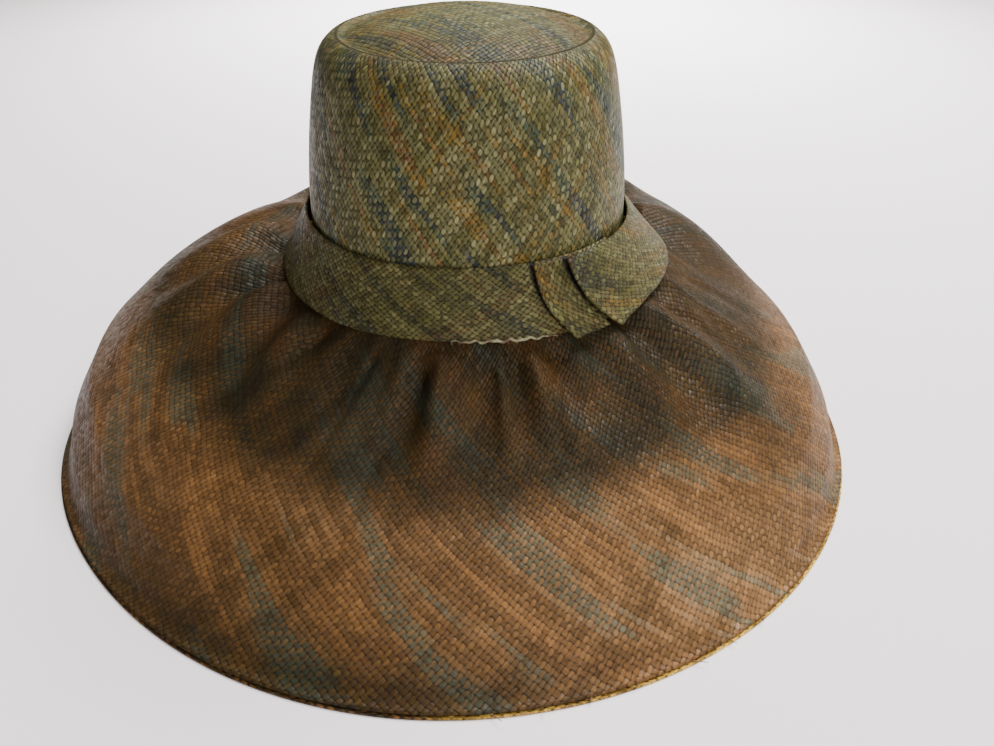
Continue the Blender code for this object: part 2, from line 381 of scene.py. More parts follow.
def crown_painted_shade(azimuth, share):
    """How much painted shade the straw gets, as plainer and browner dyes: most, at 1, round the crease of
    the tip at the front.
    """
    turned = (azimuth + 180) % 360 - 180
    around = (turned / TIP_SHADE_TURN) ** 2
    beside = ((share - TIP_SHADE_PLACE) / TIP_SHADE_WIDTH) ** 2
    return np.minimum(TIP_SHADE_DEPTH * np.exp(-around - beside) - TIP_SHADE_CLEAR, 1)


crown = round_sheet(
    "straw_crown", CROWN_ROWS, CROWN_COLUMNS, 0, STRAW_WALL, crown_points, crown_flat, crown_painted_shade
)
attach(crown, "root")
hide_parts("crown")

# %% [markdown]
# ## Brim
#
# The brim's woven cloth is longer than the crown's foot is round, so it is gathered on to it. The
# gathers run together into soft folds, which lean as they fall and fade before the rim. They are
# written as a table of ridges and valleys, with a second table of finer creases between them, and
# the small gathers are a wave. Each fold starts to fade at a third of the share where it ends.

# %% Folds and gathers
FOLD_HALF_WAY = 0.5
FOLD_STARTS = 0.04
FOLD_FULL = 0.14
FOLD_SPREAD = 0.8
FOLDS = (
    # azimuth_at_band, azimuth_half_way, half_width, rise, fades_at_share
    (5, 4, 3.5, -0.0040, 0.45),
    (15, 13, 3.0, -0.0035, 0.35),
    (17, 28, 3.5, 0.0045, 0.55),
    (25, 34, 3.0, -0.0030, 0.45),
    (44, 45, 4.0, 0.0050, 0.70),
    (51, 53, 3.5, -0.0050, 0.75),
    (58, 61, 4.5, 0.0060, 0.95),
    (76, 67, 4.0, 0.0030, 0.65),
    (104, 96, 5.0, -0.0050, 0.90),
    (116, 112, 5.0, 0.0050, 0.80),
    (128, 131, 4.0, -0.0045, 0.70),
    (144, 141, 4.5, 0.0045, 0.85),
    (163, 167, 4.5, -0.0045, 0.75),
    (178, 176, 4.0, 0.0050, 0.80),
    (196, 192, 4.5, -0.0040, 0.70),
    (214, 217, 5.0, 0.0045, 0.85),
    (232, 230, 4.0, -0.0045, 0.75),
    (247, 257, 4.0, -0.0050, 0.70),
    (255, 268, 4.0, 0.0050, 0.70),
    (268, 275, 3.5, -0.0045, 0.70),
    (275, 283, 4.0, 0.0060, 0.95),
    (283, 290, 3.5, -0.0045, 0.85),
    (292, 297, 4.0, 0.0040, 0.60),
    (300, 308, 4.0, -0.0045, 0.65),
    (308, 318, 4.5, 0.0045, 0.60),
    (335, 331, 3.5, -0.0035, 0.40),
    (349, 347, 3.5, -0.0045, 0.50),
    (356, 354, 3.0, 0.0035, 0.45),
)
CREASES = (
    # azimuth_at_band, azimuth_half_way, half_width, rise, fades_at_share
    (-24, -27, 0.9, -0.0012, 0.80),
    (-12, -16, 0.8, -0.0010, 1.20),
    (9, 8, 1.2, -0.0018, 0.45),
    (21, 22, 1.1, -0.0018, 0.50),
    (-41, -47, 1.1, -0.0014, 0.60),
    (52, 57, 1.2, -0.0020, 0.80),
    (57, 63, 1.3, 0.0016, 0.90),
    (64, 69, 1.2, -0.0024, 0.70),
    (72, 77, 1.2, 0.0018, 0.90),
    (80, 86, 1.4, -0.0016, 0.90),
    (180, 180, 0.5, 0.0008, 2.50),  # the back seam
)
GATHERS = 36
GATHER_DEPTH = 0.0012
GATHER_FADES = 0.40
GATHER_SWAYS = ((3, 0.9), (5, 0.9))


def fold_rise(azimuth, share):
    """How far the folds and gathers lift the brim off its smooth shape."""
    rise = 0 * azimuth
    for at_band, half_way, half_width, height, fades_at in FOLDS + CREASES:
        middle = at_band + (half_way - at_band) * smooth_step(0, FOLD_HALF_WAY, share)
        away = (azimuth - middle + 180) % 360 - 180
        fade = smooth_step(FOLD_STARTS, FOLD_FULL, share) * (1 - smooth_step(fades_at / 3, fades_at, share))
        rise += height * fade * np.exp(-((away / (half_width * (1 + FOLD_SPREAD * share))) ** 2))
    angle = np.radians(azimuth)
    phase = GATHERS * angle + sum(sway * np.sin(waves * angle) for waves, sway in GATHER_SWAYS)
    fade = smooth_step(0, FOLD_FULL, share) * (1 - smooth_step(FOLD_FULL, GATHER_FADES, share))
    return rise + GATHER_DEPTH * fade * np.sin(phase)


print(len(FOLDS), "folds,", len(CREASES) - 1, "creases, a back seam and", GATHERS, "gathers")


# %% Points on the brim
SLOPE_STEP = 0.01


def band_edges(azimuth):
    """Height and distance off the crown of the band's top edge, and then of its foot."""
    sizes = (round_table(BAND_SECTIONS, column, azimuth) for column in (1, 2, 3, 4))
    top_z, top_off, foot_off, width = sizes
    return top_z, top_off, top_z - np.sqrt(width**2 - (foot_off - top_off) ** 2), foot_off


def rim_points(azimuth, inset, height):
    """Points a distance inside the rim."""
    angle = np.radians(azimuth)
    radius = round_table(BRIM_SECTIONS, 1, azimuth) - inset
    return np.stack([radius * np.sin(angle), -radius * np.cos(angle), height + 0 * angle], axis=-1)


def smooth_brim(azimuth, share):
    """Points on the brim's upper face before it is folded, from the crown's foot to the lip."""
    shares = np.array([0, *BRIM_SHARES, 1])
    heights = [round_table(BRIM_SECTIONS, 2 + column, azimuth) for column in range(len(BRIM_SHARES))]
    ends = [CROWN_FOOT_Z + 0 * azimuth, EDGING_HEIGHT + EDGING_GAP + STRAW_WALL + 0 * azimuth]
    heights = np.array([ends[0], *heights, ends[1]])
    inner = off_crown(azimuth, SEAT_GAP + STRAW_WALL, CROWN_FOOT_Z)
    points = inner + (rim_points(azimuth, LIP_WIDTH, 0) - inner) * share[:, None]
    points[:, 2] = along_values(heights, np.interp(share, shares, np.arange(len(shares))))
    return points


def folded_brim(azimuth, share):
    """Points on the folded brim's upper face, kept under the band."""
    points = smooth_brim(azimuth, share)
    ahead = smooth_brim(azimuth, np.minimum(share + SLOPE_STEP, 1))
    run = ahead - smooth_brim(azimuth, np.maximum(share - SLOPE_STEP, 0))
    level = np.hypot(run[:, 0], run[:, 1])
    slope = np.hypot(level, run[:, 2])
    normal = np.stack([-run[:, 2] * run[:, 0] / level, -run[:, 2] * run[:, 1] / level, level], axis=-1)
    points += fold_rise(azimuth, share)[:, None] * normal / slope[:, None]
    off = np.hypot(*(points - off_crown(azimuth, 0, CROWN_FOOT_Z))[:, :2].T)
    _, _, foot_z, foot_off = band_edges(azimuth)
    ceiling = foot_z - BAND_CLEARANCE + np.maximum(0, off - foot_off - BAND_SHADE)
    points[:, 2] = np.minimum(points[:, 2], ceiling)
    return points


COLLAR_SHARE = 0.05
LIP_SHARE = 0.02
HEM_START = 0.955
HEM_SOFTNESS = 0.004
HEM_RISE = 0.0005


def brim_points(azimuth, place):
    """Points from the collar round the crown, down the folded slope, to the lip of the rim."""
    share = (place - COLLAR_SHARE) / (1 - COLLAR_SHARE - LIP_SHARE)
    points = folded_brim(azimuth, np.clip(share, 0, 1))
    up = np.clip(1 - place / COLLAR_SHARE, 0, 1)[:, None]
    collar = off_crown(azimuth, SEAT_GAP + STRAW_WALL, COLLAR_TOP_Z)
    points[:, 2] += HEM_RISE * smooth_step(HEM_START, HEM_START + HEM_SOFTNESS, place)
    out = np.clip((place - 1 + LIP_SHARE) / LIP_SHARE, 0, 1)[:, None]
    lip = rim_points(azimuth, 0, EDGING_HEIGHT + EDGING_GAP + STRAW_WALL)
    return points + (collar - points) * up + (lip - points) * out


LENGTH_AZIMUTHS = 121
LENGTH_PLACES = 61
grid = np.meshgrid(np.linspace(0, 360, LENGTH_AZIMUTHS), np.linspace(0, 1, LENGTH_PLACES), indexing="ij")
grid_points = brim_points(*(values.ravel() for values in grid)).reshape(LENGTH_AZIMUTHS, LENGTH_PLACES, 3)
grid_steps = np.linalg.norm(np.diff(grid_points, axis=1), axis=2)
straw_lengths = np.pad(np.cumsum(grid_steps, axis=1), ((0, 0), (1, 0)))
shortest, longest = straw_lengths[:, -1].min(), straw_lengths[:, -1].max()
print("the brim's straw is", round(shortest, 3), "to", round(longest, 3), "m long")


def straw_length(azimuth, place):
    """Length of straw from the collar out to places on the brim, between the lengths of the grid."""
    column = np.mod(azimuth, 360) / 360 * (LENGTH_AZIMUTHS - 1)
    row = np.clip(place, 0, 1) * (LENGTH_PLACES - 1)
    left = np.minimum(column.astype(int), LENGTH_AZIMUTHS - 2)
    lower = np.minimum(row.astype(int), LENGTH_PLACES - 2)
    aside, up = column - left, row - lower
    near = straw_lengths[left, lower] * (1 - up) + straw_lengths[left, lower + 1] * up
    far = straw_lengths[left + 1, lower] * (1 - up) + straw_lengths[left + 1, lower + 1] * up
    return near * (1 - aside) + far * aside


def brim_flat(azimuth, place):
    """The brim's flat pattern: a fan whose strips cross the front on the slant."""
    reach = BRIM_FAN_START + straw_length(azimuth, place)
    angle = np.radians(azimuth * BRIM_FAN + BRIM_TURN)
    return crossed(reach * np.sin(angle), -reach * np.cos(angle), BRIM_LEAN)


# %% Make the brim
BRIM_ROWS = 92
BRIM_COLUMNS = 520
TAN_STARTS = 0.40
TAN_FULL = 0.60
TAN_DRAWS_BACK = 0.18
DYE_SHADE_AND_SHEEN_PATCHES = (
    # azimuth, place, half_width, half_length, depth, which is above 0 for deeper dye and painted shade, and
    # below 0 for painted sheen
    (-34, 0.97, 34, 0.13, 0.8),
    (0, 0.99, 25, 0.10, 0.7),
    (-8, 0.74, 26, 0.18, 0.28),
    (-100, 0.35, 30, 0.25, -0.30),
    (62, 0.62, 11, 0.25, 0.9),
    (38, 0.90, 30, 0.18, -0.50),
    (85, 0.95, 20, 0.16, -0.35),
)


def brim_dye_and_painted_light(azimuth, place):
    """How far the dark dye has given way to tan: fully, at 1, on most of the outer brim. The dark inner dye
    also serves as painted shade on the slope under the band; patches with depth above 0 add deeper dye and
    painted shade, and patches below 0 push it above 1 as painted sheen.
    """
    tan = smooth_step(TAN_STARTS, TAN_FULL, place - TAN_DRAWS_BACK * (1 - np.cos(np.radians(azimuth))))
    for middle, centre, half_width, half_length, depth in DYE_SHADE_AND_SHEEN_PATCHES:
        turned = (azimuth - middle + 180) % 360 - 180
        tan -= depth * np.exp(-((turned / half_width) ** 2) - ((place - centre) / half_length) ** 2)
    return tan


brim = round_sheet(
    "straw_brim", BRIM_ROWS, BRIM_COLUMNS, RING_INNER, STRAW_WALL, brim_points, brim_flat, brim_dye_and_painted_light
)
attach(brim, "root")
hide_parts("brim")

# %% [markdown]
# ## Band and tab
#
# The band is one flared strip of the same woven straw. It starts under the tab, goes once round
# the hat, and ends over it in a slanted cut. A grid is bent round the crown: its long coordinate
# becomes the azimuth, and its short one the height on the flare.


# %% Points on the band
EDGE_CURL = 0.0022
CURL_TURN = 2.2


def band_points(azimuth, rise, lift):
    """Points on the band's outer face, at a share of its width above its foot."""
    top_z, top_off, foot_z, foot_off = band_edges(azimuth)
    off = foot_off + (top_off - foot_off) * rise + BAND_WALL + lift
    return off_crown(azimuth, off, foot_z + (top_z - foot_z) * rise)


def cut_azimuth(foot, top, rise):
    """Azimuths of a slanted, slightly bowed cut across the band, at a share of its width."""
    return foot + (top - foot) * rise - CUT_BOW * np.sin(np.pi * rise)


def grid_shares(points):
    """Shares from 0 to 1 along and across the flat grid that a strip is bent from."""
    return points[:, 0] / 2 + 0.5, points[:, 1] / 2 + 0.5


def band_turn(along, rise):
    """Azimuth of the band's pointed end, and how far round from it each point lies."""
    end = cut_azimuth(BAND_END_TIP, BAND_END_TOP, rise)
    return end, (360 + BAND_START - end) * along


def tab_edges(rise):
    """Azimuths of the tab's left and right edges."""
    return [cut_azimuth(foot, top, rise) for foot, top in zip(TAB_FOOT, TAB_TOP)]


def wound_band(points):
    """The band, from its pointed end, once round the hat, to its start under the tab."""
    along, rise = grid_shares(points)
    end, turned = band_turn(along, rise)
    curl = EDGE_CURL * np.exp(-turned / CURL_TURN)
    lift = BAND_END_LIFT * np.maximum(0, 1 - turned / BAND_SETTLES_OVER) + curl
    drop = TIP_DROP * np.maximum(0, 1 - turned / TIP_LENGTH) * (1 - rise)
    return band_points(end + turned, rise - drop, lift)


def hung_tab(points):
    """The slanted tab, between the band's start and its pointed end."""
    along, rise = grid_shares(points)
    left, right = tab_edges(rise)
    lift = BAND_LAYER + EDGE_CURL * np.exp((left - right) * along / CURL_TURN)
    return band_points(left + (right - left) * along, rise * (1 + TAB_DROP) - TAB_DROP, lift)


SHADOW_TURN = 1.3
SHADOW_DEPTH = 1.6
SHADOW_CLEAR = 0.3


# The band and the tab each get a painted shadow beside the cut edge that lies over them.
def shadow_beside_cut(azimuth, foot, top, rise):
    """How much painted shadow a layer gets beside the cut edge that lies over it: fully, at 1, right under
    the edge.
    """
    beside = cut_azimuth(foot, top, rise) - azimuth
    return SHADOW_DEPTH * np.exp(-((beside / SHADOW_TURN) ** 2)) - SHADOW_CLEAR


def band_painted_shadow(points):
    """Painted shadow on the band, beside the tab's left edge."""
    along, rise = grid_shares(points)
    end, turned = band_turn(along, rise)
    return shadow_beside_cut(end + turned - 360, TAB_FOOT[0], TAB_TOP[0], rise)


def tab_painted_shadow(points):
    """Painted shadow on the tab, beside the band's pointed end."""
    along, rise = grid_shares(points)
    left, right = tab_edges(rise)
    return shadow_beside_cut(left + (right - left) * along, BAND_END_TIP, BAND_END_TOP, rise)


# %% Make the band and the tab
BAND_REACH = 0.105
BAND_LENGTH = math.tau * BAND_REACH
BAND_WIDTH = 0.036
BAND_CELLS = (700, 14)
BAND_LEAN = 54
TAB_CELLS = (24, 20)
TAB_WIDTH = 0.020
TAB_LEAN = 38


def strip_sheet(name, cells, length, lean, wall, place, second=None):
    """A sheet bent from a flat grid, with its strips leaning to either side of its height."""
    cloth = bmesh.new()
    bmesh.ops.create_grid(cloth, x_segments=cells[0], y_segments=cells[1], size=1)

    def flattened(points, middles):
        return crossed(points[:, 0] * length / 2, points[:, 1] * BAND_WIDTH / 2, lean)

    return finish_sheet(name, cloth, wall, place, flattened, second)


band = strip_sheet("straw_band", BAND_CELLS, BAND_LENGTH, BAND_LEAN, BAND_WALL, wound_band, band_painted_shadow)
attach(band, "root")
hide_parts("band")
tab = strip_sheet("straw_tab", TAB_CELLS, TAB_WIDTH, TAB_LEAN, BAND_WALL, hung_tab, tab_painted_shadow)
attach(tab, "root")
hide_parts("band_tab")

# %% [markdown]
# ## Edging
#
# A narrow golden edging lies under the lip and shows just below it. It is a ring, spun from a
# line across its width and given its thickness by a wall, so its two faces and its two edges come
# out in one go.

# %% Make the edging
EDGING_ROWS = 3
EDGING_COLUMNS = 360
EDGING_RADIUS = 0.235
EDGING_LEAN = 60
EDGING_BRIGHTEST = 45
EDGING_DULL = 0.75
EDGING_FADES = (-0.15, 0.20)


def edging_points(azimuth, share):
    """Points across the edging's upper face, from its inner edge to its outer one."""
    return rim_points(azimuth, (EDGING_WIDTH - EDGING_PROUD) - EDGING_WIDTH * share, EDGING_HEIGHT)


def edging_flat(azimuth, share):
    """The edging's flat pattern: strips along it and across it."""
    return crossed(np.radians(azimuth) * EDGING_RADIUS, share * EDGING_WIDTH, EDGING_LEAN)


def edging_brown_share(azimuth, share):
    """How far the edging's gold gives way to brown: least at the front right."""
    return 1 - smooth_step(*EDGING_FADES, np.cos(np.radians(azimuth - EDGING_BRIGHTEST)) - EDGING_DULL)


edging = round_sheet(
    "golden_edging", EDGING_ROWS, EDGING_COLUMNS, RING_INNER, EDGING_HEIGHT,
    edging_points, edging_flat, edging_brown_share,
)
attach(edging, "root")
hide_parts("rim_edging")

# %% [markdown]
# ## Loose ends
#
# Where the band's foot was trimmed at the front, its last strip has worked loose and shows as a
# pale, wavy strand. Elsewhere a few cut ends stick out, along the band's foot and at the rim. Each
# end is one narrow strip of a few faces that thins towards its tip, and the ends at the rim bend
# upwards. Numbered angles that never repeat place them, so every run is the same.


# %% Make the loose ends
GOLDEN_TURN = 137.508
END_WALL = 0.0002
STRAND_TURN = (-3.0, 26.0)
STRAND_CELLS = (90, 3)
STRAND_LENGTH = 0.06
STRAND_TAPER = 0.4
STRAND_RISES = (-0.025, 0.020)
STRAND_WAVES = ((37.0, 0.012), (61.0, 0.009))
FRINGE = (
    # azimuth_from, azimuth_to, count, length, width
    (-4, 27, 16, 0.0016, 0.0006),
    (50, 300, 22, 0.0012, 0.0006),
)
FRINGE_ROOT = 0.02
FRINGE_SHORTEST = 0.5
FRINGE_SLANT = 2.4
RIM_ENDS = (14, 0.0040, 0.0006)  # count, length, width
RIM_ROOT = 0.002
RIM_SHORTEST = 0.4
RIM_SLANT = 1.6
RIM_BEND = 0.001
END_TAPER = 0.6
NARROWEST = 0.6
WIDTH_RANGE = 0.6
PLACE_STEP, LENGTH_STEP, SLANT_STEP, WIDTH_STEP = 1.0, 0.37, 0.61, 0.83


def loose_strand(points):
    """The pale strand along the band's foot, which waves and thins out at both ends."""
    along, across = grid_shares(points)
    azimuth = STRAND_TURN[0] + (STRAND_TURN[1] - STRAND_TURN[0]) * along
    wave = sum(depth * np.sin(turns * along) for turns, depth in STRAND_WAVES)
    thin = np.sin(np.pi * along) ** STRAND_TAPER
    middle = sum(STRAND_RISES) / 2
    own = STRAND_RISES[0] + (STRAND_RISES[1] - STRAND_RISES[0]) * across
    rise = middle + wave + (own - middle) * thin
    return band_points(azimuth, rise, BAND_WALL / 2 * np.sin(np.pi * across))


strand = strip_sheet(
    "loose_strand", STRAND_CELLS, STRAND_LENGTH, BAND_LEAN, BAND_WALL / 2, loose_strand
)
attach(strand, "root")


def scattered(count, step):
    """Numbers from 0 to 1 that are spread evenly but look random."""
    return np.mod(np.arange(1, count + 1) * step * GOLDEN_TURN, 1)


def end_widths(count, width):
    """Widths of the cut ends, from narrow to a little wider than their usual width."""
    return width * (NARROWEST + WIDTH_RANGE * scattered(count, WIDTH_STEP))


def loose_ends(name, roots, tips, widths, bend):
    """Narrow strips from roots to tips, which thin out and bend upwards."""
    cloth = bmesh.new()
    for root, tip, width in zip(roots, tips, widths):
        made = bmesh.ops.create_grid(cloth, x_segments=1, y_segments=3, size=1)["verts"]
        run = tip - root
        side = np.cross(run, (0, 0, 1))
        side = side / np.linalg.norm(side) * width / 2
        for vert in made:
            share = vert.co.y / 2 + 0.5
            place = root + run * share + side * vert.co.x * (1 - END_TAPER * share)
            vert.co = place + np.array([0, 0, bend]) * share**2
    mesh = bpy.data.meshes.new(name)
    cloth.to_mesh(mesh)
    cloth.free()
    mesh.shade_smooth()
    piece = bpy.data.objects.new(name, mesh)
    bpy.context.scene.collection.objects.link(piece)
    wall = piece.modifiers.new("wall", "SOLIDIFY")
    wall.thickness = END_WALL
    wall.offset = 0
    print(name, "has", len(roots), "ends")
    return piece


roots, tips, widths = [], [], []
for start, stop, count, length, width in FRINGE:
    azimuth = start + (stop - start) * scattered(count, PLACE_STEP)
    reach = length * (FRINGE_SHORTEST + scattered(count, LENGTH_STEP)) / BAND_WIDTH
    slant = FRINGE_SLANT * (scattered(count, SLANT_STEP) - 0.5)
    roots.append(band_points(azimuth, np.full(count, FRINGE_ROOT), -BAND_WALL / 2))
    tips.append(band_points(azimuth + slant, -reach, -BAND_WALL / 2))
    widths.append(end_widths(count, width))
fringe = loose_ends("band_fringe", np.vstack(roots), np.vstack(tips), np.concatenate(widths), 0)
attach(fringe, "root")

count, length, width = RIM_ENDS
azimuth = 360 * scattered(count, PLACE_STEP)
slant = RIM_SLANT * (scattered(count, SLANT_STEP) - 0.5)
reach = length * (RIM_SHORTEST + scattered(count, LENGTH_STEP))
rim_height = EDGING_HEIGHT + EDGING_GAP + STRAW_WALL / 2
roots = rim_points(azimuth, RIM_ROOT, rim_height)
tips = rim_points(azimuth + slant, 0, rim_height)
tips += (tips - roots) / RIM_ROOT * reach[:, None]
rim_ends = loose_ends("rim_ends", roots, tips, end_widths(count, width), RIM_BEND)
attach(rim_ends, "root")

# %% [markdown]
# ## Straw
#
# Every sheet has the same weave, so the weave is one node group. From the flat pattern it counts
# the strips of both families. Where the two counts add up to an even number, one family lies on
# top, and where they add up to an odd number, the other. The group puts out the colour place of the
# strip on top, a painted shade for the gaps beside it and the holes where strips cross, and a height,
# which arches as the strip passes over.

# %% Build the weave group
WOBBLE_SCALE = 180.0
WOBBLE_SIZE = 0.0016
WEFT_NUMBERS = 500.0
FIBRE_SCALES = (3.5, 0.45)
ROUND_RELIEF = 0.6
ARCH_RELIEF = 0.4
FIBRE_RELIEF = 0.4
STRIP_TILT = 1.8
BROAD_LENGTH = 42.0
OWN_LENGTH = 37.0
OWN_RANGE = 0.12
STREAK_DEPTH = 2.4
TONE_RANGE = 0.7
TONE_LOW = 0.15
TONE_LEAST = 0.05
HOLE_SIZE = 1.9
GAP_SIZE = 0.6


def group_socket(group, name, kind, way, value=None):
    """Add a socket to a node group, with a value to start from."""
    socket = group.interface.new_socket(name, in_out=way, socket_type=kind)
    if value is not None:
        socket.default_value = value


class Wires:
    """Small helper that adds nodes to a tree and links them in one call."""

    def __init__(self, tree):
        self.tree = tree

    def node(self, kind, **settings):
        made = self.tree.nodes.new(kind)
        for name, value in settings.items():
            setattr(made, name, value)
        return made

    def feed(self, socket, value):
        if isinstance(value, bpy.types.NodeSocket):
            self.tree.links.new(value, socket)
        elif value is not None:
            socket.default_value = value

    def math(self, operation, *values):
        made = self.node("ShaderNodeMath", operation=operation)
        for socket, value in zip(made.inputs, values):
            self.feed(socket, value)
        return made.outputs[0]

    def mix(self, share, first, second):
        made = self.node("ShaderNodeMix", data_type="FLOAT")
        for socket, value in zip(made.inputs[:4], (share, None, first, second)):
            self.feed(socket, value)
        return made.outputs[0]

    def blend(self, mode, share, first, second):
        made = self.node("ShaderNodeMix", data_type="RGBA", blend_type=mode)
        self.feed(made.inputs[0], share)
        self.feed(made.inputs[6], first)
        self.feed(made.inputs[7], second)
        return made.outputs[2]

    def vector(self, x, y, z):
        made = self.node("ShaderNodeCombineXYZ")
        for socket, value in zip(made.inputs, (x, y, z)):
            self.feed(socket, value)
        return made.outputs[0]

    def noise(self, vector, scale, detail=2.0):
        made = self.node("ShaderNodeTexNoise")
        self.feed(made.inputs["Vector"], vector)
        made.inputs["Scale"].default_value = scale
        made.inputs["Detail"].default_value = detail
        return made.outputs[0]

    def chance(self, vector):
        made = self.node("ShaderNodeTexWhiteNoise", noise_dimensions="3D")
        self.feed(made.inputs["Vector"], vector)
        return made.outputs["Value"]


def make_weave_group():
    """The over and under weave, from a flat pattern in metres."""
    group = bpy.data.node_groups.new("straw_weave", "ShaderNodeTree")
    group_socket(group, "Weave", "NodeSocketVector", "INPUT")
    group_socket(group, "Strip Widths", "NodeSocketVector", "INPUT", (*STRIP_WIDTHS, 1.0))
    group_socket(group, "Seed", "NodeSocketFloat", "INPUT", 0.0)
    group_socket(group, "Stripe Strips", "NodeSocketFloat", "INPUT", STRIPE_STRIPS)
    for name in ("Warp Stripe", "Weft Stripe", "Tone", "Gap Shade", "Weft", "Height"):
        group_socket(group, name, "NodeSocketFloat", "OUTPUT")
    w = Wires(group)
    inlet = w.node("NodeGroupInput")
    outlet = w.node("NodeGroupOutput")
    pattern, widths, seed, stripe_strips = inlet.outputs[:4]

    wobble = w.node("ShaderNodeTexNoise")
    w.feed(wobble.inputs["Vector"], pattern)
    wobble.inputs["Scale"].default_value = WOBBLE_SCALE
    wobble.inputs["Detail"].default_value = 1.0
    shift = w.node("ShaderNodeVectorMath", operation="MULTIPLY_ADD")
    w.feed(shift.inputs[0], wobble.outputs["Color"])
    shift.inputs[1].default_value = (WOBBLE_SIZE, WOBBLE_SIZE, 0.0)
    w.feed(shift.inputs[2], pattern)
    scaled = w.node("ShaderNodeVectorMath", operation="DIVIDE")
    w.feed(scaled.inputs[0], shift.outputs[0])
    w.feed(scaled.inputs[1], widths)
    parts = w.node("ShaderNodeSeparateXYZ")
    w.feed(parts.inputs[0], scaled.outputs[0])
    u, v = parts.outputs[:2]
    count_u, count_v = w.math("FLOOR", u), w.math("FLOOR", v)
    part_u, part_v = w.math("FRACT", u), w.math("FRACT", v)
    over = w.math("FLOORED_MODULO", w.math("ADD", count_u, count_v), 2.0)

    strip = w.mix(over, count_u, w.math("ADD", count_v, WEFT_NUMBERS))
    along = w.mix(over, v, u)
    across = w.mix(over, part_u, part_v)
    pass_over = w.mix(over, part_v, part_u)

    edge = w.math("ABSOLUTE", w.math("MULTIPLY_ADD", across, 2.0, -1.0))
    end = w.math("ABSOLUTE", w.math("MULTIPLY_ADD", pass_over, 2.0, -1.0))
    rounded = w.math("SUBTRACT", 1.0, w.math("POWER", edge, 3.0))
    arch = w.math("SUBTRACT", 1.0, w.math("POWER", end, 2.0))
    cell = w.chance(w.vector(count_u, count_v, seed))
    other = w.chance(w.vector(count_v, count_u, seed))
    sideways = w.math("MULTIPLY", w.math("SUBTRACT", cell, 0.5), w.math("SUBTRACT", across, 0.5))
    endways = w.math("MULTIPLY", w.math("SUBTRACT", other, 0.5), w.math("SUBTRACT", pass_over, 0.5))
    drawn = [w.math("MULTIPLY", way, scale) for way, scale in zip((across, along), FIBRE_SCALES)]
    fibre = w.noise(w.vector(*drawn, strip), 1.0)
    height = w.math("MULTIPLY_ADD", rounded, ROUND_RELIEF, w.math("MULTIPLY", arch, ARCH_RELIEF))
    height = w.math("MULTIPLY_ADD", sideways, STRIP_TILT, height)
    height = w.math("MULTIPLY_ADD", fibre, FIBRE_RELIEF, height)
    height = w.math("MULTIPLY_ADD", endways, STRIP_TILT, height)

    stripes = []
    for count, other_way, row in ((count_u, v, 0.0), (count_v, u, WEFT_NUMBERS)):
        number = w.math("ADD", count, row)
        place = w.math("DIVIDE", w.math("ADD", number, seed), stripe_strips)
        broad = w.noise(w.vector(place, w.math("DIVIDE", other_way, BROAD_LENGTH), seed), 1.0, 1.0)
        length = w.math("FLOOR", w.math("DIVIDE", other_way, OWN_LENGTH))
        own = w.chance(w.vector(number, length, seed))
        stripes.append(w.math("MULTIPLY_ADD", w.math("SUBTRACT", own, 0.5), OWN_RANGE, broad))
    streak = w.math("MULTIPLY", w.math("SUBTRACT", fibre, 0.5), STREAK_DEPTH)
    tone = w.math("ADD", w.math("MULTIPLY_ADD", cell, TONE_RANGE, TONE_LOW), streak)
    tone = w.math("MAXIMUM", tone, TONE_LEAST)
    # The gaps at the strips' sides and the holes where they cross are darkened as painted shade.
    corner = w.math("MULTIPLY", w.math("POWER", edge, 2.0), w.math("POWER", end, 2.0))
    hole_shade = w.math("MINIMUM", w.math("MULTIPLY", corner, HOLE_SIZE), 1.0)
    gap_shade = w.math("MAXIMUM", w.math("MULTIPLY", w.math("POWER", edge, 3.0), GAP_SIZE), hole_shade)
    for socket, value in zip(outlet.inputs, (*stripes, tone, gap_shade, over, height)):
        w.feed(socket, value)
    return group


weave_group = make_weave_group()
print("the weave group has", len(weave_group.nodes), "nodes")

# %% Make the straw materials
WEAVE_RELIEF = 0.0004
WEFT_COVERS = 0.62
WARP_SHOWS_WEFT = 0.12
CONTRAST = 1.25
GAP_SHADE = 0.78
BRIM_CONTRAST = 0.6
BRIM_GAP_SHADE = 0.62
BAND_CONTRAST = 1.2
SPREAD_SCALE = 22.0
SPREAD_DEPTH = 0.8
PAINTED_SHEEN_POWERS = (1.15, 1.5)
ROUGHNESS = 0.6
TONE_GLOSS = -0.2
STRAW_IOR = 1.2
BLOTCH_SCALE = 300.0
STRAW_DYES = {
    "navy": (0.014, 0.019, 0.026),
    "teal": (0.026, 0.042, 0.026),
    "slate": (0.021, 0.024, 0.015),
    "grey": (0.078, 0.068, 0.038),
    "moss": (0.054, 0.050, 0.029),
    "peat": (0.042, 0.026, 0.008),
    "olive": (0.058, 0.052, 0.014),
    "khaki": (0.092, 0.086, 0.033),
    "straw": (0.180, 0.164, 0.080),
    "mustard": (0.120, 0.072, 0.012),
    "orange": (0.172, 0.080, 0.025),
    "rust": (0.094, 0.046, 0.016),
    "brown": (0.060, 0.030, 0.009),
    "sienna": (0.038, 0.018, 0.005),
    "bark": (0.028, 0.018, 0.006),
    "drab": (0.062, 0.048, 0.016),
    "umber": (0.017, 0.011, 0.004),
    "tan": (0.146, 0.071, 0.025),
    "gold": (0.600, 0.360, 0.060),
    "shadow_black": (0.006, 0.005, 0.003),
}


def dye_ramp(w, place, dyes):
    """Colours from a row of dyes and their places."""
    ramp = w.node("ShaderNodeValToRGB")
    w.feed(ramp.inputs[0], place)
    stops = ramp.color_ramp.elements
    while len(stops) < len(dyes):
        stops.new(0.5)
    for stop, (share, dye) in zip(stops, dyes):
        stop.position = share
        stop.color = (*STRAW_DYES[dye], 1)
    return ramp.outputs[0]


